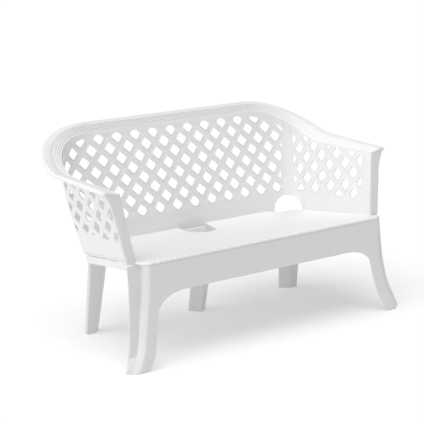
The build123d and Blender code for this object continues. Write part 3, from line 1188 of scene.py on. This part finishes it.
def rearLegSection(z):
    keys = ("inner", "outer", "front")
    inner, outer, front = (float(np.interp(z, rearLeg["z"], rearLeg[key])) for key in keys)
    flank = rearLeg["flank"]
    points = [
        (inner - flank, front + flank),
        (inner, front),
        (outer, front),
        (outer + 0.003, front + 0.014),
    ]
    return points, (0.005, 0.005)


def makeRearLeg():
    zs = np.linspace(0.0, rearLeg["top"], 20)
    mesh = makeSweep("rearLegRight", zs, rearLegSection, rearLeg["wall"])
    finishPair(mesh, "rearLeg", "rear_leg", resinPaintedShade)


makeRearLeg()


def middleLegSection(z):
    share = z / middleLeg["topZ"]
    half = middleLeg["halfFoot"] + (middleLeg["halfTop"] - middleLeg["halfFoot"]) * share
    front = middleLeg["frontFoot"] + (middleLeg["frontTop"] - middleLeg["frontFoot"]) * share
    apex, flank = middleLeg["apex"], middleLeg["flank"]
    return [(-half, front + flank), (-apex, front), (apex, front), (half, front + flank)], (0.004, 0.004)


def makeMiddleLeg():
    # the leg is the seat's rear notch drawn down to the floor, open at the back
    wall, collarZ = middleLeg["wall"], middleLeg["collarZ"]
    topZ = seatZ(middleLeg["frontTop"]) - 0.001
    leg = makeSweep("middleLegWalls", np.linspace(0.0, topZ, 18), middleLegSection, wall)
    for vert in leg.vertices:
        share = max(0.0, (vert.co.z - collarZ) / (topZ - collarZ))
        vert.co.z += (seatZ(vert.co.y) - seatZ(middleLeg["frontTop"])) * share
    parts = [leg]
    rear = seatRearY + 0.002
    side = middleLeg["frontTop"] + middleLeg["flank"] + 0.004
    for direction in (-1, 1):
        near = direction * (seat["notchSide"] + 0.0005)
        far = direction * seat["notchRear"]
        thick = direction * wall
        ring = [(near, side), (far, rear), (far - thick, rear), (near - thick, side)]
        low = [Vector((x, y, collarZ)) for x, y in ring]
        high = [Vector((x, y, deckZ(x, y) - 0.0012)) for x, y in ring]
        parts.append(loftLoops("notchWall", [low, high]))
    mesh = joinMeshes("middleLeg", parts)
    finishPiece(makeObject("middleLeg", mesh), ["middle_leg"], resinPaintedShade, 40)


makeMiddleLeg()
print("posts and legs made")

screw = {"bright": (0.62, 0.62, 0.60), "dull": (0.42, 0.41, 0.39), "grooves": 260.0, "tarnish": 38.0}


def makeSteel():
    # turned metal: fine rings, and a little tarnish that dulls it
    material = bpy.data.materials.new("screwSteel")
    material.use_nodes = True
    tree = material.node_tree
    shader = tree.nodes["Principled BSDF"]
    coords = tree.nodes.new("ShaderNodeTexCoord")
    rings = tree.nodes.new("ShaderNodeTexWave")
    rings.wave_type = "RINGS"
    rings.inputs["Scale"].default_value = screw["grooves"]
    rings.inputs["Distortion"].default_value = 1.5
    tree.links.new(coords.outputs["Object"], rings.inputs["Vector"])
    tarnish = noiseNode(tree, coords, screw["tarnish"], 5)
    tint = tree.nodes.new("ShaderNodeValToRGB")
    tint.color_ramp.elements[0].color = (*screw["dull"], 1)
    tint.color_ramp.elements[1].color = (*screw["bright"], 1)
    tree.links.new(tarnish, tint.inputs["Fac"])
    tree.links.new(tint.outputs["Color"], shader.inputs["Base Color"])
    tree.links.new(rangeNode(tree, tarnish, (0.0, 1.0), (0.42, 0.24)), shader.inputs["Roughness"])
    bumpInto(tree, shader, rings.outputs["Fac"], 0.25, 0.00012)
    shader.inputs["Metallic"].default_value = 1.0
    return material


# nodes that no piece replaces stay as they are, with a finish of their own
keptFinish = {"rail_screws": makeSteel()}
for nodeName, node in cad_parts.items():
    if node.type == "MESH":
        node.data.materials.clear()
        node.data.materials.append(keptFinish.get(nodeName, resinInner))

# plain floor and soft light
studio = {
    "floorHalf": 30,
    "floorWhite": 0.70,
    "floorGlow": 0.30,
    "ambient": 0.37,
    "lamps": [
        {"name": "overhead", "from": (-0.24, -0.10, 1.0), "spread": 55, "strength": 1.85},
        {"name": "leftSoft", "from": (-1.0, 0.10, 0.40), "spread": 60, "strength": 0.85},
    ],
}
floorMesh = bpy.data.meshes.new("floor")
reach = studio["floorHalf"]
corners = [(-reach, -reach, 0), (reach, -reach, 0), (reach, reach, 0), (-reach, reach, 0)]
floorMesh.from_pydata(corners, [], [(0, 1, 2, 3)])
floor = makeObject("floor", floorMesh)
floorMaterial = bpy.data.materials.new("paleFloor")
floorMaterial.use_nodes = True
floorShader = floorMaterial.node_tree.nodes["Principled BSDF"]
floorShader.inputs["Base Color"].default_value = (*[studio["floorWhite"]] * 3, 1)
floorShader.inputs["Emission Color"].default_value = (1, 1, 1, 1)
floorShader.inputs["Emission Strength"].default_value = studio["floorGlow"]
floorShader.inputs["Roughness"].default_value = 0.9
floorShader.inputs["Specular IOR Level"].default_value = 0.1
floorMesh.materials.append(floorMaterial)

world = bpy.data.worlds.new("studio")
bpy.context.scene.world = world
world.use_nodes = True
world.node_tree.nodes["Background"].inputs["Color"].default_value = (1, 1, 1, 1)
world.node_tree.nodes["Background"].inputs["Strength"].default_value = studio["ambient"]

for lamp in studio["lamps"]:
    light = bpy.data.lights.new(lamp["name"], "SUN")
    light.angle = math.radians(lamp["spread"])
    light.energy = lamp["strength"]
    holder = bpy.data.objects.new(lamp["name"], light)
    holder.rotation_mode = "QUATERNION"
    holder.rotation_quaternion = Vector(lamp["from"]).to_track_quat("Z", "Y")
    bpy.context.scene.collection.objects.link(holder)

view = {"at": (-3.7052, -4.6725, 1.888), "yaw": 0.66602, "pitch": 0.23557, "lens": 125.58}
cameraData = bpy.data.cameras.new("camera")
cameraData.lens = view["lens"]
cameraData.sensor_width = 36
camera = bpy.data.objects.new("camera", cameraData)
camera.location = view["at"]
camera.rotation_euler = (math.pi / 2 - view["pitch"], 0, -view["yaw"])
bpy.context.scene.collection.objects.link(camera)
bpy.context.scene.camera = camera
bpy.context.scene.view_settings.view_transform = "Standard"
bpy.context.scene.view_settings.look = "None"
